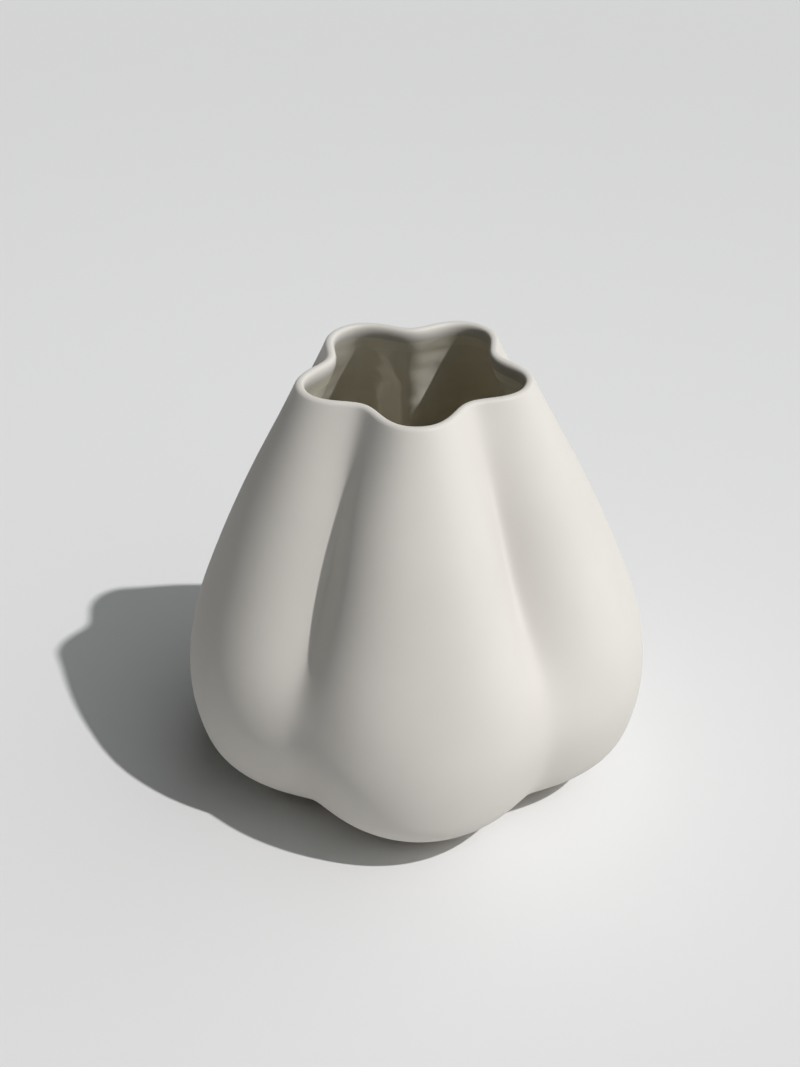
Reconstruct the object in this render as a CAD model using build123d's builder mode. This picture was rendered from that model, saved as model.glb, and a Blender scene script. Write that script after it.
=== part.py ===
"""Pillow vase: a five-lobed stoneware vessel, matt outside and gloss inside.

The fired clay wall carries two coats that are solids of their own: a matt glaze over
the outside and the lip, and a gloss lining that makes the inside hold water.
The foot ring under the lobes is bare clay and stands on the table.

Millimetres, +Z up. The origin is on the table, on the axis of the five lobes,
and one lobe points to the front, along -Y.
"""

import os
from collections import namedtuple
from math import atan2, cos, hypot, pi, sin, sqrt, tan

from build123d import *

# Overall sizes
height = 220.0  # table to the crest of the lip
belly_height = 66.0  # table to the widest place of the lobes
belly_radius = 115.4  # axis to the tip of a lobe at the belly
mouth_radius = 56.3  # axis to the tip of a lobe at the lip
foot_radius = 72.0  # axis to the tip of a lobe at the foot
groove_depth = 21.6  # tip to valley where the grooves are deepest, over the shoulder

# Clay and glazes
wall = 5.0  # clay, measured level, square to the outline
floor = 5.0  # clay over the recess of the foot
outer_coat = 0.5  # matt glaze
inner_coat = 0.5  # gloss lining
lining_drop = 7.0  # crest of the lip down to the edge of the lining
bare_height = 6.0  # table up to the lower edge of the matt glaze
foot_ring = 10.0  # width of the ring that stands on the table
foot_recess = 3.0  # depth of the hollow inside that ring
lip_round_share = 0.45  # rounding of the lip, of the wall's thickness square to its lean

# Lobes
lobe_count = 5
points_per_lobe = 20
valley_crowding = 0.55  # share by which a ring's points stand closer in the valleys
lip_steps = 5  # rings over the rounding of one edge of the lip
front_angle = -pi / 2

# Outline, one row a level: rise from the foot to the belly, reach from the foot's radius
# to the belly's, depth of the groove, softness of its valley and fullness of the lobes
under_belly_shares = (
    (0.000, 0.000, 0.61, 0.40, 1.00),
    (0.076, 0.270, 0.63, 0.34, 1.00),
    (0.200, 0.505, 0.66, 0.28, 1.00),
    (0.410, 0.824, 0.69, 0.24, 1.00),
    (0.680, 0.957, 0.61, 0.18, 1.00),
    (1.000, 1.000, 0.51, 0.19, 1.02),
)
# The same from the belly to the lip, with the reach counted from the mouth's radius
# The last row stands past the crest and gives the lean of the wall at the lip
over_belly_shares = (
    (0.080, 0.978, 0.52, 0.27, 1.17),
    (0.170, 0.927, 0.63, 0.27, 1.50),
    (0.265, 0.852, 0.81, 0.23, 1.75),
    (0.365, 0.758, 0.94, 0.18, 1.75),
    (0.470, 0.652, 1.00, 0.17, 1.66),
    (0.580, 0.531, 0.96, 0.18, 1.55),
    (0.730, 0.347, 0.84, 0.23, 1.42),
    (0.885, 0.145, 0.70, 0.60, 1.29),
    (1.000, 0.000, 0.63, 1.40, 1.20),
    (1.050, -0.063, 0.59, 1.80, 1.17),
)

Level = namedtuple("Level", "height tip depth softness fullness")


def between(start, end, share):
    """The value that lies the given share of the way from start to end."""
    return start + (end - start) * share


def outline(lift=0.0):
    """The levels of the lobed form. The lift raises its foot and fades out at the belly."""
    levels = []
    for rise, reach, groove, softness, fullness in under_belly_shares:
        level = between(lift, belly_height, rise)
        tip = between(foot_radius, belly_radius, reach)
        levels.append(Level(level, tip, groove_depth * groove, softness, fullness))
    for rise, reach, groove, softness, fullness in over_belly_shares:
        level = between(belly_height, height, rise)
        tip = between(mouth_radius, belly_radius, reach)
        levels.append(Level(level, tip, groove_depth * groove, softness, fullness))
    return levels


def point_turns():
    """The turns of a ring's points from the front lobe's tip, crowded towards the valleys."""
    turns = []
    for index in range(lobe_count * points_per_lobe):
        share = index / points_per_lobe
        turns.append((2 * pi * share + valley_crowding * sin(2 * pi * share)) / lobe_count)
    return turns


def ring_points(level, inset):
    """Points of one lobed ring, moved in from the outline by the inset, square to it."""
    points = []
    span = sqrt(1 + level.softness**2) - level.softness
    for turn in point_turns():
        wave = cos(lobe_count * turn / 2)
        blunt = sqrt(wave**2 + level.softness**2)
        hollow = 1 - (blunt - level.softness) / span
        radius = level.tip - level.depth * hollow**level.fullness
        fall = wave * sin(lobe_count * turn / 2) * lobe_count / (2 * blunt * span)
        slope = -level.depth * level.fullness * hollow ** (level.fullness - 1) * fall
        length = hypot(radius, slope)
        out = radius - inset * radius / length
        across = inset * slope / length
        angle = front_angle + turn
        x = out * cos(angle) - across * sin(angle)
        y = out * sin(angle) + across * cos(angle)
        points.append((x, y))
    return points


def ring_face(level, inset):
    """One lobed ring as a face at its own height."""
    points = ring_points(level, inset)
    places = [index / len(points) for index in range(len(points) + 1)]
    with BuildSketch(Plane.XY.offset(level.height)) as ring:
        with BuildLine():
            add(Edge.make_spline(points, periodic=True, parameters=places))
        make_face()
    return ring.sketch


def lip_level(drop):
    """The level this far below the crest, where the wall runs straight to the lip."""
    *_, crest, past_crest = outline()
    share = drop / (crest.height - past_crest.height)
    return Level(*[between(at, past, share) for at, past in zip(crest, past_crest)])


def lip_lean():
    """The angle by which the tips of the lobes lean inwards at the lip."""
    *_, crest, past_crest = outline()
    return atan2(crest.tip - past_crest.tip, past_crest.height - crest.height)


def lip_rings(inset, side, crest, rounding):
    """The rings that round one edge of a lip, from the wall up to its crest.

    The side is 1 for the outer edge of the lip and -1 for the inner one.
    """
    lean = lip_lean()
    rings = []
    for step in range(lip_steps + 1):
        angle = between(side * lean, pi / 2, step / lip_steps)
        drop = rounding * (1 - sin(angle))
        inward = side * rounding * ((1 - side * sin(lean)) / cos(lean) - cos(angle))
        level = lip_level(height - crest + drop)
        rings.append(ring_face(level, inset + inward + drop * tan(lean)))
    return rings


def lobed_form(inset, side, lift, crest, thickness):
    """A solid lobed form: its wall, and one rounded edge of a lip of this thickness."""
    *wall_levels, _, _ = outline(lift)
    rounding = thickness * cos(lip_lean()) * lip_round_share
    lip = lip_rings(inset, side, crest, rounding)
    with BuildPart() as form:
        loft([ring_face(level, inset) for level in wall_levels] + lip[:1])
        loft(lip)
    return form.part


# Levels and depths that the pieces share
floor_height = foot_recess + floor
lining_edge = height - lining_drop
clay_depth = outer_coat + wall
full_depth = clay_depth + inner_coat

# The four lobed forms, from the outside in
clay_crest = height - outer_coat
outside = lobed_form(0, 1, 0, height, full_depth)
clay_outside = lobed_form(outer_coat, 1, 0, clay_crest, wall)
clay_inside = lobed_form(clay_depth, -1, floor_height, clay_crest, wall)
inside = lobed_form(full_depth, -1, floor_height + inner_coat, height, full_depth)

# Fired clay: wall, floor and foot ring in one piece
with BuildPart() as vase_body:
    add(clay_outside)
    add(clay_inside, mode=Mode.SUBTRACT)
    extrude(ring_face(outline()[0], outer_coat + foot_ring), amount=foot_recess, mode=Mode.SUBTRACT)

# Gloss lining: from the floor up to just below the lip
with BuildPart() as inner_glaze:
    add(clay_inside)
    add(inside, mode=Mode.SUBTRACT)
    split(bisect_by=Plane.XY.offset(lining_edge), keep=Keep.BOTTOM)

# Matt glaze over the lip: the lip's full form without the clay in it
with BuildPart() as lip_clay:
    add(vase_body.part)
    split(bisect_by=Plane.XY.offset(lining_edge), keep=Keep.TOP)

with BuildPart() as lip_glaze:
    add(outside)
    add(inside, mode=Mode.SUBTRACT)
    split(bisect_by=Plane.XY.offset(lining_edge), keep=Keep.TOP)
    add(lip_clay.part, mode=Mode.SUBTRACT)

# Matt glaze: the outside from above the bare foot, joined to the glaze over the lip
with BuildPart() as outer_glaze:
    add(outside)
    add(clay_outside, mode=Mode.SUBTRACT)
    split(bisect_by=Plane.XY.offset(lining_edge), keep=Keep.BOTTOM)
    split(bisect_by=Plane.XY.offset(bare_height), keep=Keep.TOP)
    add(lip_glaze.part)

os.makedirs("parts", exist_ok=True)

vase_body.part.label = "vase_body"
export_step(vase_body.part, "parts/vase_body.step")

inner_glaze.part.label = "inner_glaze"
export_step(inner_glaze.part, "parts/inner_glaze.step")

outer_glaze.part.label = "outer_glaze"
export_step(outer_glaze.part, "parts/outer_glaze.step")
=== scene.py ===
"""Pillow vase: the looks of a five-lobed stoneware vase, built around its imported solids.

The matt coat, the gloss lining and the fired clay are lobed skins, each extruded ring by
ring from a circle. They follow the outline of the solids that they stand for, with the
grooves a little sharper over the shoulder and the inner edge of the lip a little softer.
Metres, +Z up. The origin is on the table, on the axis, and one lobe points to -Y.
"""

from collections import namedtuple
from math import atan2, ceil, cos, hypot, pi, radians, sin, sqrt, tan

import bmesh
import bpy
from bpy.props import FloatProperty, FloatVectorProperty, PointerProperty
from mathutils import Matrix, Quaternion, Vector


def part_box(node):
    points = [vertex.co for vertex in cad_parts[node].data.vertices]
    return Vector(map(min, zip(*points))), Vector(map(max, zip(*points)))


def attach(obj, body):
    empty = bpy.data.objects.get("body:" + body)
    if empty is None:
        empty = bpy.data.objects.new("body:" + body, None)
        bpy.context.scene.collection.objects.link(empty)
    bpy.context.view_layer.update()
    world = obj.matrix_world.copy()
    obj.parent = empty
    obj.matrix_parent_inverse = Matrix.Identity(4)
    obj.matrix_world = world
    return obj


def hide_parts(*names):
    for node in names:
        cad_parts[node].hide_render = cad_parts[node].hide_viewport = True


bl_info = {
    "name": "Pillow Vase",
    "version": (1, 0, 0),
    "blender": (4, 5, 0),
    "location": "3D View > Sidebar > Vase",
    "description": "Models the clay, the coats and the stage of a five-lobed vase",
    "category": "Object",
}

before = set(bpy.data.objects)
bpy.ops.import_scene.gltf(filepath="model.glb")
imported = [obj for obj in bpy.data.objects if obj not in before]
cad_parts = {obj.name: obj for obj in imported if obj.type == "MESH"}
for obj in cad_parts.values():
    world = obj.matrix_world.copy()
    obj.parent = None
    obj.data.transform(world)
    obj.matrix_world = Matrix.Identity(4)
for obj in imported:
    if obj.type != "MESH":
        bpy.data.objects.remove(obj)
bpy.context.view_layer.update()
coat_low, coat_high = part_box("outer_glaze")
lining_low, lining_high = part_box("inner_glaze")
_, clay_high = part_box("vase_body")

# Outline under the belly, one row a level: rise from the foot to the belly, reach from the
# foot's radius to the belly's, depth of the groove, softness of its valley and fullness of
# the lobes
UNDER_BELLY_SHARES = (
    (0.000, 0.000, 0.61, 0.40, 1.00),
    (0.076, 0.270, 0.63, 0.34, 1.00),
    (0.200, 0.505, 0.66, 0.28, 1.00),
    (0.410, 0.824, 0.69, 0.24, 1.00),
    (0.680, 0.957, 0.61, 0.18, 1.00),
    (1.000, 1.000, 0.51, 0.19, 1.02),
)
# The same from the belly to the lip, with the reach counted from the mouth's radius
# The last row stands past the crest
OVER_BELLY_SHARES = (
    (0.080, 0.978, 0.52, 0.24, 1.17),
    (0.170, 0.927, 0.63, 0.20, 1.50),
    (0.265, 0.852, 0.81, 0.15, 1.75),
    (0.365, 0.758, 0.94, 0.12, 1.75),
    (0.470, 0.652, 1.00, 0.11, 1.66),
    (0.580, 0.531, 0.96, 0.12, 1.55),
    (0.730, 0.347, 0.84, 0.18, 1.42),
    (0.885, 0.145, 0.70, 0.60, 1.29),
    (1.000, 0.000, 0.63, 1.40, 1.20),
    (1.050, -0.063, 0.59, 1.80, 1.17),
)

# Mesh of a skin
LOBES = 5
FRONT_ANGLE = -pi / 2
HALF_LOBE = pi / LOBES  # turn from the tip of a lobe to the valley beside it
HALF_LOBE_COLUMNS = 16  # columns of faces from a tip to the valley beside it
VALLEY_CROWDING = 0.70  # share by which the columns stand closer in the valleys
FINE_STEPS = 90  # steps along half a lobe, from which its columns are read
HALVINGS = 40  # steps of the search for a height along an outline
RING_SPACING = 0.006  # from ring to ring along the wall
LIP_OUTER_STEPS = 4  # steps over the outer edge of the lip
LIP_INNER_STEPS = 8  # steps over the inner edge of the lip
LIP_FLAT = 0.0006  # width of the crest between these edges
FLOOR_SHARES = (0.96, 0.8, 0.5, 0.2)  # rings of the floor inside, of the wall's lowest ring
RECESS_SHARES = (0.2, 0.6, 0.97)  # rings of the recess in the foot, of its outline
FOOT_SOFTNESS = 0.0008  # rounding of the edges of the foot ring
CLAY_TUCK = 0.0001  # extra depth of the clay under its coats
COAT_SHARE = 0.8  # thickness of a coat's mesh, of the coat
SMOOTH_ANGLE = radians(50)  # edges that bend more than this look sharp

# Glazes and clay: depths under an edge, and the roughness that a mask runs through
SHEEN_START = 0.012  # crest of the lip down to where the matt coat begins to shine
SHEEN_FULL = 0.002  # crest of the lip down to where it shines most
LOW_TONE_DEPTH = 0.110  # edge of the lining down to where its tone is deepest
DULL_EDGE = 0.014  # edge of the lining down to where it has its full gloss
MATT_ROUGHNESS = (0.56, 0.68)
LIP_ROUGHNESS = (0.38, 0.44)
GLOSS_ROUGHNESS = (0.07, 0.13)
EDGE_ROUGHNESS = 0.40
CLAY_ROUGHNESS = (0.80, 0.95)
CLAY_CLOUD = 0.86  # tone of the clouds in the clay, of its own colour

# Stage
FLOOR_CORNERS = 96
LIGHT_POOL_FADE = 1.2  # from the axis to where the painted pool of light on the floor fades into its deeper grey
LAMP_DISTANCE = 2  # where a lamp stands. Its light is the same from any distance
SENSOR_WIDTH = 36  # long side of the picture, in millimetres

Level = namedtuple("Level", "height tip depth softness fullness")
Ring = namedtuple("Ring", "height radii")


class VaseSizes(bpy.types.PropertyGroup):
    """Sizes of the vase."""

    height: FloatProperty(
        name="Height",
        description="Table to the crest of the lip",
        default=coat_high.z,
        unit="LENGTH",
    )
    belly_height: FloatProperty(
        name="Belly height",
        description="Table to the widest place of the lobes",
        default=0.066,
        unit="LENGTH",
    )
    belly_radius: FloatProperty(
        name="Belly radius",
        description="Axis to the tip of a lobe at the belly",
        default=-coat_low.y,
        unit="LENGTH",
    )
    mouth_radius: FloatProperty(
        name="Mouth radius",
        description="Axis to the tip of a lobe at the lip",
        default=0.0563,
        unit="LENGTH",
    )
    foot_radius: FloatProperty(
        name="Foot radius",
        description="Axis to the tip of a lobe at the foot",
        default=0.072,
        unit="LENGTH",
    )
    groove_depth: FloatProperty(
        name="Groove depth",
        description="Tip to valley where the grooves are deepest",
        default=0.0216,
        unit="LENGTH",
    )
    wall: FloatProperty(
        name="Wall",
        description="Clay and both coats, measured level and square to the outline",
        default=0.006,
        unit="LENGTH",
    )
    coat: FloatProperty(
        name="Coat",
        description="Thickness of the matt coat and of the gloss lining",
        default=coat_high.z - clay_high.z,
        unit="LENGTH",
    )
    lip_round: FloatProperty(
        name="Lip rounding",
        description="Radius that rounds the outer edge of the lip",
        default=0.0024,
        unit="LENGTH",
    )
    lining_edge: FloatProperty(
        name="Lining edge",
        description="Table to the upper edge of the gloss lining",
        default=lining_high.z,
        unit="LENGTH",
    )
    floor_height: FloatProperty(
        name="Floor height",
        description="Table to the lining on the floor inside",
        default=lining_low.z + coat_high.z - clay_high.z,
        unit="LENGTH",
    )
    bare_height: FloatProperty(
        name="Bare height",
        description="Table to the lower edge of the matt coat",
        default=coat_low.z,
        unit="LENGTH",
    )
    foot_ring: FloatProperty(
        name="Foot ring",
        description="Width of the ring that stands on the table",
        default=0.010,
        unit="LENGTH",
    )
    foot_recess: FloatProperty(
        name="Foot recess",
        description="Depth of the hollow inside the foot ring",
        default=0.003,
        unit="LENGTH",
    )


class VaseColours(bpy.types.PropertyGroup):
    """Colours of the vase and of the floor under it."""

    matt: FloatVectorProperty(
        name="Matt coat",
        description="Warm off-white of the outside",
        subtype="COLOR",
        size=3,
        min=0,
        max=1,
        default=(0.638, 0.613, 0.571),
    )
    matt_cloud: FloatVectorProperty(
        name="Matt coat cloud",
        description="Tone of the faint clouds in the matt coat",
        subtype="COLOR",
        size=3,
        min=0,
        max=1,
        default=(0.615, 0.590, 0.548),
    )
    gloss: FloatVectorProperty(
        name="Gloss lining",
        description="Cream of the lining near the lip",
        subtype="COLOR",
        size=3,
        min=0,
        max=1,
        default=(0.800, 0.775, 0.700),
    )
    # Darker, warmer tone of the lining lower down inside, also the tone of its clouds
    gloss_low: FloatVectorProperty(
        name="Gloss pool",
        description="Deeper tone of the lining where the glaze is thick, low down",
        subtype="COLOR",
        size=3,
        min=0,
        max=1,
        default=(0.755, 0.710, 0.585),
    )
    clay: FloatVectorProperty(
        name="Bare clay",
        description="Buff of the fired clay",
        subtype="COLOR",
        size=3,
        min=0,
        max=1,
        default=(0.520, 0.450, 0.360),
    )
    clay_speck: FloatVectorProperty(
        name="Clay speck",
        description="Tone of the grog and iron specks in the clay",
        subtype="COLOR",
        size=3,
        min=0,
        max=1,
        default=(0.330, 0.260, 0.190),
    )
    # The paler grey of the floor near the vase is a painted pool of light; floor_far is the grey
    # past it
    floor: FloatVectorProperty(
        name="Floor",
        description="Pale grey of the floor",
        subtype="COLOR",
        size=3,
        min=0,
        max=1,
        default=(0.760, 0.760, 0.757),
    )
    floor_far: FloatVectorProperty(
        name="Floor far off",
        description="Slightly deeper grey of the floor away from the vase",
        subtype="COLOR",
        size=3,
        min=0,
        max=1,
        default=(0.690, 0.690, 0.690),
    )
    backdrop: FloatVectorProperty(
        name="Backdrop",
        description="Pale grey past the end of the floor",
        subtype="COLOR",
        size=3,
        min=0,
        max=1,
        default=(0.690, 0.690, 0.690),
    )
    fill: FloatVectorProperty(
        name="Fill light",
        description="Colour of the light from all round",
        subtype="COLOR",
        size=3,
        min=0,
        max=1,
        default=(0.900, 1.000, 0.900),
    )
    soft: FloatVectorProperty(
        name="Soft lamp",
        description="Colour of the broad, soft lamp",
        subtype="COLOR",
        size=3,
        min=0,
        max=1,
        default=(0.930, 0.975, 0.985),
    )
    lamp: FloatVectorProperty(
        name="Lamp",
        description="Colour of the lamp",
        subtype="COLOR",
        size=3,
        min=0,
        max=1,
        default=(1.000, 0.982, 0.988),
    )


class VaseStage(bpy.types.PropertyGroup):
    """Camera and light."""

    lens: FloatProperty(
        name="Lens",
        description="Focal length in millimetres, for a long side of 36",
        default=62.98,
    )
    distance: FloatProperty(
        name="Distance",
        description="Camera to the middle of the vase",
        default=0.923,
        unit="LENGTH",
    )
    elevation: FloatProperty(
        name="Elevation",
        description="Height of the camera over the horizon, seen from the middle of the vase",
        default=radians(34.1),
        subtype="ANGLE",
    )
    turn: FloatProperty(
        name="Turn",
        description="Turn of the camera about the vase, away from the front lobe",
        default=radians(-1.74),
        subtype="ANGLE",
    )
    roll: FloatProperty(
        name="Roll",
        description="Tilt of the picture",
        default=radians(-0.64),
        subtype="ANGLE",
    )
    aim_across: FloatProperty(
        name="Aim across",
        description="Place that the camera aims at, to the right of the axis",
        default=-0.0073,
        unit="LENGTH",
    )
    aim_height: FloatProperty(
        name="Aim height",
        description="Place that the camera aims at, over the table",
        default=0.1291,
        unit="LENGTH",
    )
    lamp_azimuth: FloatProperty(
        name="Lamp azimuth",
        description="Direction towards the lamp, from +X",
        default=radians(-33.8),
        subtype="ANGLE",
    )
    lamp_elevation: FloatProperty(
        name="Lamp elevation",
        description="Height of the lamp over the horizon",
        default=radians(51.6),
        subtype="ANGLE",
    )
    lamp_size: FloatProperty(
        name="Lamp size",
        description="Width of the lamp as seen from the vase",
        default=radians(1.2),
        subtype="ANGLE",
    )
    lamp_strength: FloatProperty(
        name="Lamp strength",
        description="Strength of the lamp",
        default=2.62,
    )
    soft_azimuth: FloatProperty(
        name="Soft lamp azimuth",
        description="Direction towards the broad, soft lamp, from +X",
        default=radians(-8),
        subtype="ANGLE",
    )
    soft_elevation: FloatProperty(
        name="Soft lamp elevation",
        description="Height of the soft lamp over the horizon",
        default=radians(36),
        subtype="ANGLE",
    )
    soft_size: FloatProperty(
        name="Soft lamp size",
        description="Width of the soft lamp as seen from the vase",
        default=radians(115),
        subtype="ANGLE",
    )
    soft_strength: FloatProperty(
        name="Soft lamp strength",
        description="Strength of the soft lamp",
        default=1.5,
    )
    fill_strength: FloatProperty(
        name="Fill strength",
        description="Strength of the light from all round",
        default=0.02,
    )
    floor_reach: FloatProperty(
        name="Floor reach",
        description="Half the width of the floor",
        default=40.0,
        unit="LENGTH",
    )


def between(start, end, share):
    """The value that lies the given share of the way from start to end."""
    return start + (end - start) * share


def outline(sizes, lift=0.0):
    """The levels of the lobed form. The lift raises its foot and fades out at the belly."""
    levels = []
    for rise, reach, groove, softness, fullness in UNDER_BELLY_SHARES:
        height = between(lift, sizes.belly_height, rise)
        tip = between(sizes.foot_radius, sizes.belly_radius, reach)
        levels.append(Level(height, tip, sizes.groove_depth * groove, softness, fullness))
    for rise, reach, groove, softness, fullness in OVER_BELLY_SHARES:
        height = between(sizes.belly_height, sizes.height, rise)
        tip = between(sizes.mouth_radius, sizes.belly_radius, reach)
        levels.append(Level(height, tip, sizes.groove_depth * groove, softness, fullness))
    return levels


class Profile:
    """A smooth line through the levels of an outline, measured along its length."""

    def __init__(self, levels):
        self.levels = levels
        self.knots = [0.0]
        for low, high in zip(levels, levels[1:]):
            step = hypot(high.height - low.height, high.tip - low.tip)
            self.knots.append(self.knots[-1] + step)
        self.slopes = self.level_slopes()

    def level_slopes(self):
        """How each value of a level changes along the line, at each level."""
        steps = [high - low for low, high in zip(self.knots, self.knots[1:])]
        rates = []
        for low, high, step in zip(self.levels, self.levels[1:], steps):
            rates.append([(b - a) / step for a, b in zip(low, high)])
        slopes = []
        for index in range(1, len(steps)):
            before, after = steps[index - 1], steps[index]
            pairs = zip(rates[index - 1], rates[index])
            slopes.append([(after * a + before * b) / (before + after) for a, b in pairs])
        first = [2 * rate - slope for rate, slope in zip(rates[0], slopes[0])]
        last = [2 * rate - slope for rate, slope in zip(rates[-1], slopes[-1])]
        return [first, *slopes, last]

    def at(self, place):
        """The level at this length along the line."""
        index = 0
        while index < len(self.knots) - 2 and place > self.knots[index + 1]:
            index += 1
        step = self.knots[index + 1] - self.knots[index]
        share = (place - self.knots[index]) / step
        values = []
        for column in range(len(Level._fields)):
            start = self.levels[index][column]
            end = self.levels[index + 1][column]
            leave = self.slopes[index][column] * step
            arrive = self.slopes[index + 1][column] * step
            square = 3 * (end - start) - 2 * leave - arrive
            cube = 2 * (start - end) + leave + arrive
            values.append(start + share * (leave + share * (square + share * cube)))
        return Level(*values)

    def place_of(self, height):
        """The length along the line where it reaches this height."""
        low, high = 0.0, self.knots[-1]
        for _ in range(HALVINGS):
            middle = (low + high) / 2
            if self.at(middle).height < height:
                low = middle
            else:
                high = middle
        return (low + high) / 2

    def levels_between(self, start_height, end_height):
        """Evenly spaced levels from one height to another, both included."""
        start, end = self.place_of(start_height), self.place_of(end_height)
        count = max(1, ceil(abs(end - start) / RING_SPACING))
        return [self.at(between(start, end, index / count)) for index in range(count + 1)]


def column_turn(column):
    """The turn of a column from the tip of its lobe. Columns crowd towards the valley."""
    share = column / HALF_LOBE_COLUMNS
    return HALF_LOBE * (share + VALLEY_CROWDING * sin(pi * share) / pi)


def lobed_ring(level, inset):
    """One ring, moved in from the outline by the inset, square to it.

    Its radii run from the tip of a lobe to the valley beside it.
    """
    span = sqrt(1 + level.softness**2) - level.softness
    fullness = max(1.0, level.fullness)
    angles, radii = [], []
    for step in range(FINE_STEPS + 1):
        turn = HALF_LOBE * step / FINE_STEPS
        wave = cos(LOBES * turn / 2)
        blunt = sqrt(wave**2 + level.softness**2)
        hollow = max(0.0, 1 - (blunt - level.softness) / span)
        radius = level.tip - level.depth * hollow**fullness
        fall = wave * sin(LOBES * turn / 2) * LOBES / (2 * blunt * span)
        slope = -level.depth * fullness * hollow ** (fullness - 1) * fall
        length = hypot(radius, slope)
        out = radius - inset * radius / length
        across = inset * slope / length
        angles.append(turn + atan2(across, out))
        radii.append(hypot(out, across))
    columns = []
    step = 0
    for column in range(HALF_LOBE_COLUMNS + 1):
        wanted = column_turn(column)
        while step < FINE_STEPS - 1 and angles[step + 1] < wanted:
            step += 1
        share = (wanted - angles[step]) / (angles[step + 1] - angles[step])
        columns.append(between(radii[step], radii[step + 1], share))
    return Ring(level.height, columns)


def wall_rings(profile, inset, start_height, end_height):
    """Rings along the wall from one height to another."""
    return [lobed_ring(level, inset) for level in profile.levels_between(start_height, end_height)]


def lip_rings(profile, crest, inset, depth, rounding, reach):
    """Rings over a lip, from the outer wall to the inner one.

    Its outer edge has this rounding. Its inner edge is worn down softly over the reach.
    """
    below = profile.at(profile.place_of(crest - rounding))
    at_crest = profile.at(profile.place_of(crest))
    lean = atan2(below.tip - at_crest.tip, rounding)
    outer_width = rounding * (1 - sin(lean)) / cos(lean)
    inner_width = depth - outer_width - LIP_FLAT
    places = []
    for index in range(LIP_OUTER_STEPS + 1):
        angle = between(lean, pi / 2, index / LIP_OUTER_STEPS)
        drop = rounding * (1 - sin(angle))
        places.append((drop, outer_width - rounding * cos(angle) + drop * tan(lean)))
    for index in range(LIP_INNER_STEPS + 1):
        angle = between(pi / 2, 0, index / LIP_INNER_STEPS)
        places.append((reach * (1 - sin(angle)), depth - inner_width * (1 - cos(angle))))
    rings = []
    for drop, inward in places:
        level = profile.at(profile.place_of(crest - drop))
        rings.append(lobed_ring(level, inset + inward))
    return rings


def scaled_ring(ring, share, height):
    """A copy of a ring at another size and height."""
    return Ring(height, [radius * share for radius in ring.radii])


def turn_from_tip(place):
    """The turn of a point from the tip of the nearest lobe, negative on the clockwise side."""
    turn = atan2(place.y, place.x) - FRONT_ANGLE
    return (turn + HALF_LOBE) % (2 * HALF_LOBE) - HALF_LOBE


def column_of(place):
    """The column of half a lobe that a point of a ring belongs to."""
    turn = abs(turn_from_tip(place))
    return min(range(HALF_LOBE_COLUMNS + 1), key=lambda column: abs(column_turn(column) - turn))


def crowd_columns(piece):
    """Turns the columns of the selected, evenly spaced ring towards the valleys."""
    mesh = bmesh.from_edit_mesh(piece.data)
    chosen = [vert for vert in mesh.verts if vert.select]
    spacing = HALF_LOBE / HALF_LOBE_COLUMNS
    places = [(vert, round(turn_from_tip(vert.co) / spacing)) for vert in chosen]
    for column in range(1 - HALF_LOBE_COLUMNS, HALF_LOBE_COLUMNS):
        for vert, at in places:
            vert.select_set(at == column)
        mesh.select_flush_mode()
        turn = column_turn(abs(column)) - spacing * abs(column)
        bpy.ops.transform.rotate(
            value=-turn if column > 0 else turn, orient_axis="Z", center_override=(0, 0, 0)
        )
    for vert in chosen:
        vert.select_set(True)
    mesh.select_flush_mode()


def shape_ring(piece, start, ring):
    """Scales the selected ring of points, column by column, to the radii of a ring."""
    mesh = bmesh.from_edit_mesh(piece.data)
    chosen = [vert for vert in mesh.verts if vert.select]
    places = [(vert, column_of(vert.co)) for vert in chosen]
    for column, radius in enumerate(ring.radii):
        for vert, at in places:
            vert.select_set(at == column)
        mesh.select_flush_mode()
        share = radius / start.radii[column]
        bpy.ops.transform.resize(value=(share, share, 1), center_override=(0, 0, ring.height))
    for vert in chosen:
        vert.select_set(True)
    mesh.select_flush_mode()


def model_skin(name, rings, closed_start=False, closed_end=False):
    """A lobed skin, extruded ring by ring from a circle. It is left in edit mode."""
    bpy.ops.object.select_all(action="DESELECT")
    first = rings[0]
    circle = Ring(first.height, [first.radii[0]] * len(first.radii))
    bpy.ops.mesh.primitive_circle_add(
        vertices=2 * LOBES * HALF_LOBE_COLUMNS,
        radius=circle.radii[0],
        fill_type="TRIFAN" if closed_start else "NOTHING",
    )
    piece = bpy.context.object
    piece.name = name
    piece.data.name = name
    bpy.ops.object.mode_set(mode="EDIT")
    bpy.ops.mesh.select_mode(type="VERT")
    bpy.ops.mesh.select_all(action="SELECT")
    bpy.ops.transform.translate(value=(0, 0, first.height))
    mesh = bmesh.from_edit_mesh(piece.data)
    for vert in mesh.verts:
        vert.select_set(vert.co.xy.length > circle.radii[0] / 2)
    mesh.select_flush_mode()
    crowd_columns(piece)
    shape_ring(piece, circle, first)
    for start, ring in zip(rings, rings[1:]):
        rise = (0, 0, ring.height - start.height)
        bpy.ops.mesh.extrude_edges_move(TRANSFORM_OT_translate={"value": rise})
        shape_ring(piece, start, ring)
    if closed_end:
        bpy.ops.mesh.extrude_edges_move()
        bpy.ops.mesh.merge(type="CENTER")
    return piece


def leave_edit_mode(piece, inside=False):
    """Turns all faces one way, outwards or to the cavity, and goes back to object mode."""
    bpy.ops.mesh.select_all(action="SELECT")
    bpy.ops.mesh.normals_make_consistent(inside=False)
    mesh = bmesh.from_edit_mesh(piece.data)
    widest = max(mesh.faces, key=lambda face: face.calc_center_median().xy.length)
    outward = widest.normal.xy.dot(widest.calc_center_median().xy) > 0
    if outward == inside:
        bpy.ops.mesh.flip_normals()
    bpy.ops.object.mode_set(mode="OBJECT")


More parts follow.
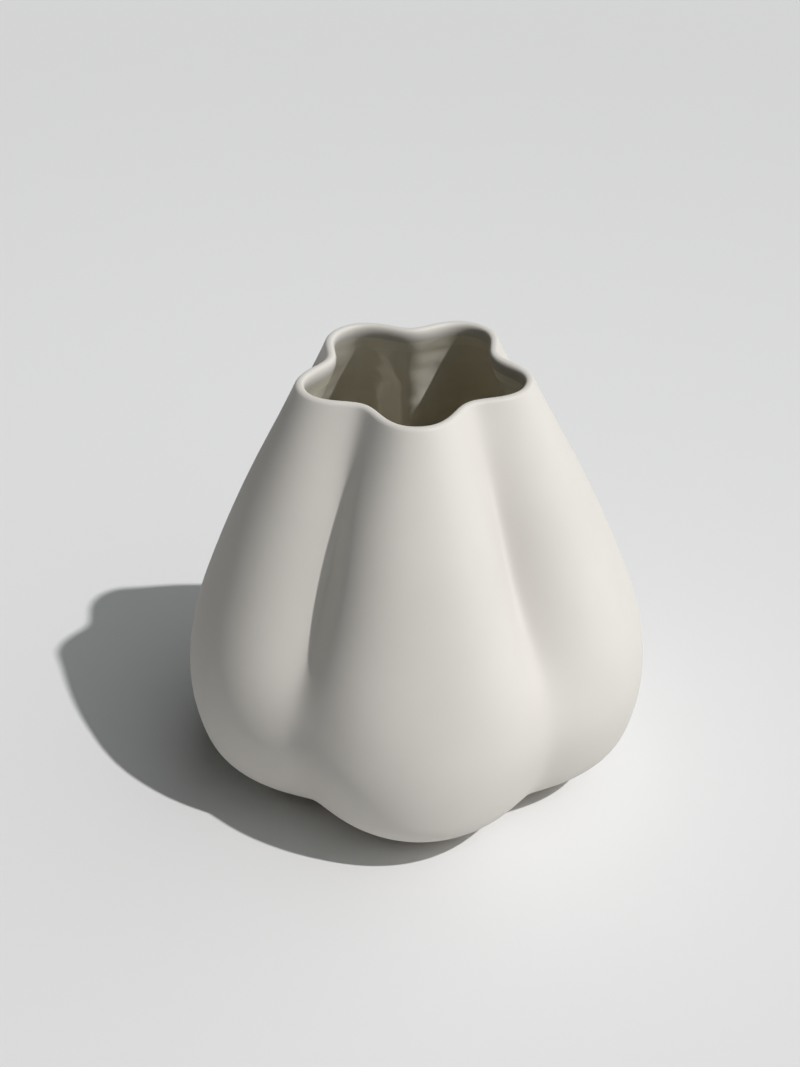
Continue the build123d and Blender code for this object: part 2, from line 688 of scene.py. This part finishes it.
def add_modifier(piece, kind, **values):
    """Adds a modifier to the active piece, sets it and applies it."""
    bpy.ops.object.modifier_add(type=kind)
    modifier = piece.modifiers[-1]
    for name, value in values.items():
        setattr(modifier, name, value)
    bpy.ops.object.modifier_apply(modifier=modifier.name)


def dress(piece, material, node):
    """Gives a finished piece its material and its place in the frame."""
    piece.data.materials.append(material)
    bpy.ops.object.shade_smooth_by_angle(angle=SMOOTH_ANGLE)
    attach(piece, "root")
    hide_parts(node)


def new_group(name, inputs, outputs):
    """A shader node group with these sockets, and its input and output nodes."""
    group = bpy.data.node_groups.new(name, "ShaderNodeTree")
    for socket, kind, value in inputs:
        made = group.interface.new_socket(name=socket, in_out="INPUT", socket_type=kind)
        made.default_value = value
    for socket, kind in outputs:
        group.interface.new_socket(name=socket, in_out="OUTPUT", socket_type=kind)
    start = group.nodes.new("NodeGroupInput")
    end = group.nodes.new("NodeGroupOutput")
    return group, start, end


def firing_cloud_group():
    """Faint clouds of a second tone, as the fire leaves them in a glaze or a clay."""
    group, start, end = new_group(
        "Firing cloud",
        [
            ("Colour", "NodeSocketColor", (0.6, 0.6, 0.6, 1)),
            ("Cloud Colour", "NodeSocketColor", (0.5, 0.5, 0.5, 1)),
            ("Scale", "NodeSocketFloat", 18.0),
        ],
        [("Colour", "NodeSocketColor"), ("Cloud", "NodeSocketFloat")],
    )
    nodes, links = group.nodes, group.links
    place = nodes.new("ShaderNodeTexCoord")
    noise = nodes.new("ShaderNodeTexNoise")
    noise.inputs["Detail"].default_value = 4.0
    noise.inputs["Roughness"].default_value = 0.55
    contrast = nodes.new("ShaderNodeMapRange")
    contrast.interpolation_type = "SMOOTHSTEP"
    contrast.inputs["From Min"].default_value = 0.3
    contrast.inputs["From Max"].default_value = 0.7
    tone = nodes.new("ShaderNodeMix")
    tone.data_type = "RGBA"
    links.new(place.outputs["Object"], noise.inputs["Vector"])
    links.new(start.outputs["Scale"], noise.inputs["Scale"])
    links.new(noise.outputs["Fac"], contrast.inputs["Value"])
    links.new(contrast.outputs["Result"], tone.inputs["Factor"])
    links.new(start.outputs["Colour"], tone.inputs["A"])
    links.new(start.outputs["Cloud Colour"], tone.inputs["B"])
    links.new(tone.outputs["Result"], end.inputs["Colour"])
    links.new(contrast.outputs["Result"], end.inputs["Cloud"])
    return group


def surface_grain_group():
    """Height of a fine grain over gentle waves, for the bump of a glaze or a clay."""
    group, start, end = new_group(
        "Surface grain",
        [
            ("Grain Scale", "NodeSocketFloat", 1200.0),
            ("Wave Scale", "NodeSocketFloat", 40.0),
            ("Grain Share", "NodeSocketFloat", 0.5),
        ],
        [("Height", "NodeSocketFloat"), ("Grain", "NodeSocketFloat")],
    )
    nodes, links = group.nodes, group.links
    place = nodes.new("ShaderNodeTexCoord")
    grain = nodes.new("ShaderNodeTexNoise")
    grain.inputs["Detail"].default_value = 3.0
    wave = nodes.new("ShaderNodeTexNoise")
    wave.inputs["Detail"].default_value = 1.0
    mixed = nodes.new("ShaderNodeMix")
    links.new(place.outputs["Object"], grain.inputs["Vector"])
    links.new(place.outputs["Object"], wave.inputs["Vector"])
    links.new(start.outputs["Grain Scale"], grain.inputs["Scale"])
    links.new(start.outputs["Wave Scale"], wave.inputs["Scale"])
    links.new(start.outputs["Grain Share"], mixed.inputs["Factor"])
    links.new(wave.outputs["Fac"], mixed.inputs["A"])
    links.new(grain.outputs["Fac"], mixed.inputs["B"])
    links.new(mixed.outputs["Result"], end.inputs["Height"])
    links.new(grain.outputs["Fac"], end.inputs["Grain"])
    return group


def height_mask_group():
    """A mask that runs from 0 at one height over the table to 1 at another."""
    group, start, end = new_group(
        "Height mask",
        [("From Height", "NodeSocketFloat", 0.0), ("To Height", "NodeSocketFloat", 0.2)],
        [("Mask", "NodeSocketFloat")],
    )
    nodes, links = group.nodes, group.links
    place = nodes.new("ShaderNodeTexCoord")
    split = nodes.new("ShaderNodeSeparateXYZ")
    fade = nodes.new("ShaderNodeMapRange")
    fade.interpolation_type = "SMOOTHSTEP"
    links.new(place.outputs["Object"], split.inputs["Vector"])
    links.new(split.outputs["Z"], fade.inputs["Value"])
    links.new(start.outputs["From Height"], fade.inputs["From Min"])
    links.new(start.outputs["To Height"], fade.inputs["From Max"])
    links.new(fade.outputs["Result"], end.inputs["Mask"])
    return group


def shared_group(name, build):
    """The node group of this name, built the first time that a material asks for it."""
    return bpy.data.node_groups.get(name) or build()


def place_group(material, group, **values):
    """A group node in a material, with its inputs set. Underscores stand for spaces."""
    node = material.node_tree.nodes.new("ShaderNodeGroup")
    node.node_tree = group
    for name, value in values.items():
        node.inputs[name.replace("_", " ")].default_value = value
    return node


def opaque(colour):
    """A colour with the alpha that a colour socket needs."""
    return (*colour, 1.0)


def new_material(name):
    """A new material and its Principled BSDF."""
    material = bpy.data.materials.new(name)
    material.use_nodes = True
    shader = material.node_tree.nodes["Principled BSDF"]
    return material, shader


def ranged(material, source, low, high):
    """A node that spreads a mask's 0 to 1 over a range of values."""
    node = material.node_tree.nodes.new("ShaderNodeMapRange")
    node.inputs["To Min"].default_value = low
    node.inputs["To Max"].default_value = high
    material.node_tree.links.new(source, node.inputs["Value"])
    return node.outputs["Result"]


def bumped(material, height, distance, strength):
    """The normal that a height over the surface gives."""
    node = material.node_tree.nodes.new("ShaderNodeBump")
    node.inputs["Distance"].default_value = distance
    node.inputs["Strength"].default_value = strength
    material.node_tree.links.new(height, node.inputs["Height"])
    return node.outputs["Normal"]


def matt_glaze(sizes, colours):
    """Silky matt glaze: faint clouds, a fine tooth, and a smoother, shinier lip."""
    material, shader = new_material("Matt glaze")
    nodes, links = material.node_tree.nodes, material.node_tree.links
    cloud = place_group(
        material,
        shared_group("Firing cloud", firing_cloud_group),
        Colour=opaque(colours.matt),
        Cloud_Colour=opaque(colours.matt_cloud),
        Scale=14.0,
    )
    grain = place_group(
        material,
        shared_group("Surface grain", surface_grain_group),
        Grain_Scale=1600.0,
        Wave_Scale=60.0,
        Grain_Share=0.35,
    )
    lip = place_group(
        material,
        shared_group("Height mask", height_mask_group),
        From_Height=sizes.height - SHEEN_START,
        To_Height=sizes.height - SHEEN_FULL,
    )
    satin = nodes.new("ShaderNodeMix")
    links.new(lip.outputs["Mask"], satin.inputs["Factor"])
    links.new(ranged(material, grain.outputs["Grain"], *MATT_ROUGHNESS), satin.inputs["A"])
    links.new(ranged(material, cloud.outputs["Cloud"], *LIP_ROUGHNESS), satin.inputs["B"])
    links.new(cloud.outputs["Colour"], shader.inputs["Base Color"])
    links.new(satin.outputs["Result"], shader.inputs["Roughness"])
    shader.inputs["Specular IOR Level"].default_value = 0.15
    normal = bumped(material, grain.outputs["Height"], distance=0.0002, strength=0.10)
    links.new(normal, shader.inputs["Normal"])
    return material


def gloss_glaze(sizes, colours):
    """Glossy lining: cream at the lip and darker and warmer lower down inside, with a
    hand-smoothed wave.
    """
    material, shader = new_material("Gloss glaze")
    nodes, links = material.node_tree.nodes, material.node_tree.links
    depth = place_group(
        material,
        shared_group("Height mask", height_mask_group),
        From_Height=sizes.lining_edge - LOW_TONE_DEPTH,
        To_Height=sizes.lining_edge,
    )
    # Darker and warmer towards the floor inside
    lower_tone = nodes.new("ShaderNodeMix")
    lower_tone.data_type = "RGBA"
    lower_tone.inputs["A"].default_value = opaque(colours.gloss_low)
    lower_tone.inputs["B"].default_value = opaque(colours.gloss)
    cloud = place_group(
        material,
        shared_group("Firing cloud", firing_cloud_group),
        Cloud_Colour=opaque(colours.gloss_low),
        Scale=22.0,
    )
    grain = place_group(
        material,
        shared_group("Surface grain", surface_grain_group),
        Grain_Scale=500.0,
        Wave_Scale=55.0,
        Grain_Share=0.03,
    )
    links.new(depth.outputs["Mask"], lower_tone.inputs["Factor"])
    links.new(lower_tone.outputs["Result"], cloud.inputs["Colour"])
    links.new(cloud.outputs["Colour"], shader.inputs["Base Color"])
    edge = place_group(
        material,
        shared_group("Height mask", height_mask_group),
        From_Height=sizes.lining_edge - DULL_EDGE,
        To_Height=sizes.lining_edge,
    )
    polish = nodes.new("ShaderNodeMix")
    polish.inputs["B"].default_value = EDGE_ROUGHNESS
    links.new(edge.outputs["Mask"], polish.inputs["Factor"])
    links.new(ranged(material, cloud.outputs["Cloud"], *GLOSS_ROUGHNESS), polish.inputs["A"])
    links.new(polish.outputs["Result"], shader.inputs["Roughness"])
    normal = bumped(material, grain.outputs["Height"], distance=0.0030, strength=0.6)
    links.new(normal, shader.inputs["Normal"])
    return material


def stoneware(colours):
    """Bare fired clay: buff, dry and sandy, with darker grog and iron specks."""
    material, shader = new_material("Stoneware")
    nodes, links = material.node_tree.nodes, material.node_tree.links
    cloud = place_group(
        material,
        shared_group("Firing cloud", firing_cloud_group),
        Colour=opaque(colours.clay),
        Cloud_Colour=opaque([value * CLAY_CLOUD for value in colours.clay]),
        Scale=30.0,
    )
    grain = place_group(
        material,
        shared_group("Surface grain", surface_grain_group),
        Grain_Scale=1400.0,
        Wave_Scale=220.0,
        Grain_Share=0.7,
    )
    place = nodes.new("ShaderNodeTexCoord")
    specks = nodes.new("ShaderNodeTexVoronoi")
    specks.inputs["Scale"].default_value = 420.0
    speck_edge = nodes.new("ShaderNodeMapRange")
    speck_edge.inputs["From Min"].default_value = 0.10
    speck_edge.inputs["From Max"].default_value = 0.20
    speck_edge.inputs["To Min"].default_value = 1.0
    speck_edge.inputs["To Max"].default_value = 0.0
    speckled = nodes.new("ShaderNodeMix")
    speckled.data_type = "RGBA"
    speckled.inputs["B"].default_value = opaque(colours.clay_speck)
    links.new(place.outputs["Object"], specks.inputs["Vector"])
    links.new(specks.outputs["Distance"], speck_edge.inputs["Value"])
    links.new(speck_edge.outputs["Result"], speckled.inputs["Factor"])
    links.new(cloud.outputs["Colour"], speckled.inputs["A"])
    links.new(speckled.outputs["Result"], shader.inputs["Base Color"])
    dry = ranged(material, grain.outputs["Grain"], *CLAY_ROUGHNESS)
    links.new(dry, shader.inputs["Roughness"])
    normal = bumped(material, grain.outputs["Height"], distance=0.0004, strength=0.5)
    links.new(normal, shader.inputs["Normal"])
    return material


def floor_with_painted_light(colours):
    """Pale floor with a painted pool of light: a little brighter around the vase than far off."""
    material, shader = new_material("Floor paint")
    nodes, links = material.node_tree.nodes, material.node_tree.links
    place = nodes.new("ShaderNodeTexCoord")
    reach = nodes.new("ShaderNodeVectorMath")
    reach.operation = "LENGTH"
    fade = nodes.new("ShaderNodeMapRange")
    fade.interpolation_type = "SMOOTHSTEP"
    fade.inputs["From Max"].default_value = LIGHT_POOL_FADE
    # Painted pool of light: paler near the axis, fading to the far grey
    tone = nodes.new("ShaderNodeMix")
    tone.data_type = "RGBA"
    tone.inputs["A"].default_value = opaque(colours.floor)
    tone.inputs["B"].default_value = opaque(colours.floor_far)
    links.new(place.outputs["Object"], reach.inputs[0])
    links.new(reach.outputs["Value"], fade.inputs["Value"])
    links.new(fade.outputs["Result"], tone.inputs["Factor"])
    links.new(tone.outputs["Result"], shader.inputs["Base Color"])
    shader.inputs["Roughness"].default_value = 0.9
    shader.inputs["Specular IOR Level"].default_value = 0.2
    return material


def fill_world(colours, stage):
    """Faint light from all round, and the pale grey that is seen or mirrored past the floor."""
    world = bpy.data.worlds.new("Fill light")
    world.use_nodes = True
    nodes, links = world.node_tree.nodes, world.node_tree.links
    fill = nodes["Background"]
    fill.inputs["Color"].default_value = opaque(colours.fill)
    fill.inputs["Strength"].default_value = stage.fill_strength
    seen = nodes.new("ShaderNodeBackground")
    seen.inputs["Color"].default_value = opaque(colours.backdrop)
    ray = nodes.new("ShaderNodeLightPath")
    mirrored = nodes.new("ShaderNodeMath")
    direct = nodes.new("ShaderNodeMath")
    chosen = nodes.new("ShaderNodeMixShader")
    links.new(ray.outputs["Is Glossy Ray"], mirrored.inputs[0])
    links.new(ray.outputs["Is Transmission Ray"], mirrored.inputs[1])
    links.new(ray.outputs["Is Camera Ray"], direct.inputs[0])
    links.new(mirrored.outputs["Value"], direct.inputs[1])
    links.new(direct.outputs["Value"], chosen.inputs["Fac"])
    links.new(fill.outputs["Background"], chosen.inputs[1])
    links.new(seen.outputs["Background"], chosen.inputs[2])
    links.new(chosen.outputs["Shader"], nodes["World Output"].inputs["Surface"])
    return world


def add_lamp(name, azimuth, elevation, size, strength, colour):
    """A lamp far off in this direction. Its size is its width as seen from the vase."""
    flat = cos(elevation)
    towards = Vector((flat * cos(azimuth), flat * sin(azimuth), sin(elevation)))
    bpy.ops.object.light_add(type="SUN", location=towards * LAMP_DISTANCE)
    lamp = bpy.context.object
    lamp.name = name
    lamp.rotation_mode = "QUATERNION"
    lamp.rotation_quaternion = towards.to_track_quat("Z", "Y")
    lamp.data.energy = strength
    lamp.data.angle = size
    lamp.data.color = colour


class VASE_OT_clay_body(bpy.types.Operator):
    """Model the fired clay: wall, floor and foot ring"""

    bl_idname = "vase.clay_body"
    bl_label = "Clay body"
    bl_options = {"REGISTER", "UNDO"}

    def execute(self, context):
        sizes = context.scene.vase_sizes
        colours = context.scene.vase_colours
        skin = sizes.coat + CLAY_TUCK
        crest = sizes.height - skin
        rounding = sizes.lip_round - sizes.coat
        outside = Profile(outline(sizes))
        inside = Profile(outline(sizes, sizes.floor_height - skin))
        foot = outside.at(0)
        recess = lobed_ring(foot, sizes.coat + sizes.foot_ring)
        reach = crest - sizes.lining_edge
        lip = lip_rings(outside, crest, skin, sizes.wall - 2 * skin, rounding, reach)
        inner_wall = wall_rings(
            inside, sizes.wall - skin, lip[-1].height - RING_SPACING, inside.levels[0].height
        )
        floor = inner_wall[-1].height
        rings = [
            *[scaled_ring(recess, share, sizes.foot_recess) for share in RECESS_SHARES],
            recess._replace(height=sizes.foot_recess - FOOT_SOFTNESS),
            recess._replace(height=FOOT_SOFTNESS),
            lobed_ring(foot, sizes.coat + sizes.foot_ring - FOOT_SOFTNESS),
            lobed_ring(foot, sizes.coat + sizes.foot_ring / 2),
            lobed_ring(foot, sizes.coat + FOOT_SOFTNESS),
            *wall_rings(outside, skin, FOOT_SOFTNESS, lip[0].height - RING_SPACING),
            *lip,
            *inner_wall,
            *[scaled_ring(inner_wall[-1], share, floor) for share in FLOOR_SHARES],
        ]
        piece = model_skin("clay_body", rings, closed_start=True, closed_end=True)
        leave_edit_mode(piece)
        add_modifier(piece, "SUBSURF", levels=1, render_levels=1)
        dress(piece, stoneware(colours), "vase_body")
        return {"FINISHED"}


class VASE_OT_matt_coat(bpy.types.Operator):
    """Model the matt coat: the outside from above the bare foot, and over the lip"""

    bl_idname = "vase.matt_coat"
    bl_label = "Matt coat"
    bl_options = {"REGISTER", "UNDO"}

    def execute(self, context):
        sizes = context.scene.vase_sizes
        colours = context.scene.vase_colours
        profile = Profile(outline(sizes))
        reach = sizes.height - sizes.lining_edge
        lip = lip_rings(profile, sizes.height, 0, sizes.wall, sizes.lip_round, reach)
        rings = [
            *wall_rings(profile, 0, sizes.bare_height, lip[0].height - RING_SPACING / 2),
            *lip,
        ]
        piece = model_skin("matt_coat", rings)
        leave_edit_mode(piece)
        add_modifier(piece, "SUBSURF", levels=1, render_levels=1)
        add_modifier(piece, "SOLIDIFY", thickness=sizes.coat * COAT_SHARE, offset=-1)
        dress(piece, matt_glaze(sizes, colours), "outer_glaze")
        return {"FINISHED"}


class VASE_OT_gloss_lining(bpy.types.Operator):
    """Model the gloss lining: from the edge below the lip down to the floor"""

    bl_idname = "vase.gloss_lining"
    bl_label = "Gloss lining"
    bl_options = {"REGISTER", "UNDO"}

    def execute(self, context):
        sizes = context.scene.vase_sizes
        colours = context.scene.vase_colours
        profile = Profile(outline(sizes, sizes.floor_height))
        wall = wall_rings(profile, sizes.wall, sizes.lining_edge, sizes.floor_height)
        rings = [
            *wall,
            *[scaled_ring(wall[-1], share, sizes.floor_height) for share in FLOOR_SHARES],
        ]
        piece = model_skin("gloss_lining", rings, closed_end=True)
        leave_edit_mode(piece, inside=True)
        add_modifier(piece, "SUBSURF", levels=1, render_levels=1)
        add_modifier(piece, "SOLIDIFY", thickness=sizes.coat * COAT_SHARE, offset=-1)
        dress(piece, gloss_glaze(sizes, colours), "inner_glaze")
        return {"FINISHED"}


class VASE_OT_stage(bpy.types.Operator):
    """Set up the floor, the light and the camera"""

    bl_idname = "vase.stage"
    bl_label = "Stage"
    bl_options = {"REGISTER", "UNDO"}

    def execute(self, context):
        sizes = context.scene.vase_sizes
        colours = context.scene.vase_colours
        stage = context.scene.vase_stage
        bpy.ops.object.select_all(action="DESELECT")
        bpy.ops.mesh.primitive_circle_add(
            vertices=FLOOR_CORNERS, radius=stage.floor_reach, fill_type="NGON", location=(0, 0, 0)
        )
        floor = context.object
        floor.name = "floor"
        floor.data.materials.append(floor_with_painted_light(colours))

        add_lamp(
            "lamp",
            stage.lamp_azimuth,
            stage.lamp_elevation,
            stage.lamp_size,
            stage.lamp_strength,
            colours.lamp,
        )
        add_lamp(
            "soft_lamp",
            stage.soft_azimuth,
            stage.soft_elevation,
            stage.soft_size,
            stage.soft_strength,
            colours.soft,
        )

        turned = Matrix.Rotation(stage.turn, 3, "Z")
        back = Vector((0, -cos(stage.elevation), sin(stage.elevation)))
        place = turned @ (Vector((0, 0, sizes.height / 2)) + back * stage.distance)
        aim = turned @ Vector((stage.aim_across, 0, stage.aim_height))
        bpy.ops.object.camera_add(location=place)
        camera = context.object
        camera.name = "camera"
        camera.rotation_mode = "QUATERNION"
        level_view = (aim - place).to_track_quat("-Z", "Y")
        camera.rotation_quaternion = level_view @ Quaternion((0, 0, 1), stage.roll)
        camera.data.sensor_width = SENSOR_WIDTH
        camera.data.lens = stage.lens
        context.scene.camera = camera

        context.scene.world = fill_world(colours, stage)
        context.scene.view_settings.view_transform = "Standard"
        return {"FINISHED"}


class VASE_PT_sidebar(bpy.types.Panel):
    """Sizes, colours and pieces of the vase"""

    bl_idname = "VASE_PT_sidebar"
    bl_label = "Pillow Vase"
    bl_space_type = "VIEW_3D"
    bl_region_type = "UI"
    bl_category = "Vase"

    def draw(self, context):
        layout = self.layout
        for operator in OPERATORS:
            layout.operator(operator.bl_idname)
        scene = context.scene
        for settings in (scene.vase_sizes, scene.vase_colours, scene.vase_stage):
            column = layout.column(align=True)
            for name in settings.__annotations__:
                column.prop(settings, name)


OPERATORS = (VASE_OT_clay_body, VASE_OT_matt_coat, VASE_OT_gloss_lining, VASE_OT_stage)
CLASSES = (VaseSizes, VaseColours, VaseStage, *OPERATORS, VASE_PT_sidebar)


def register():
    """Registers the classes and hangs the settings on the scene."""
    for made in CLASSES:
        bpy.utils.register_class(made)
    bpy.types.Scene.vase_sizes = PointerProperty(type=VaseSizes)
    bpy.types.Scene.vase_colours = PointerProperty(type=VaseColours)
    bpy.types.Scene.vase_stage = PointerProperty(type=VaseStage)


def unregister():
    """Takes the settings off the scene and the classes out of Blender."""
    del bpy.types.Scene.vase_stage
    del bpy.types.Scene.vase_colours
    del bpy.types.Scene.vase_sizes
    for made in reversed(CLASSES):
        bpy.utils.unregister_class(made)


def main():
    """Builds the vase and its stage."""
    register()
    bpy.ops.vase.clay_body()
    bpy.ops.vase.matt_coat()
    bpy.ops.vase.gloss_lining()
    bpy.ops.vase.stage()


if __name__ == "__main__":
    main()
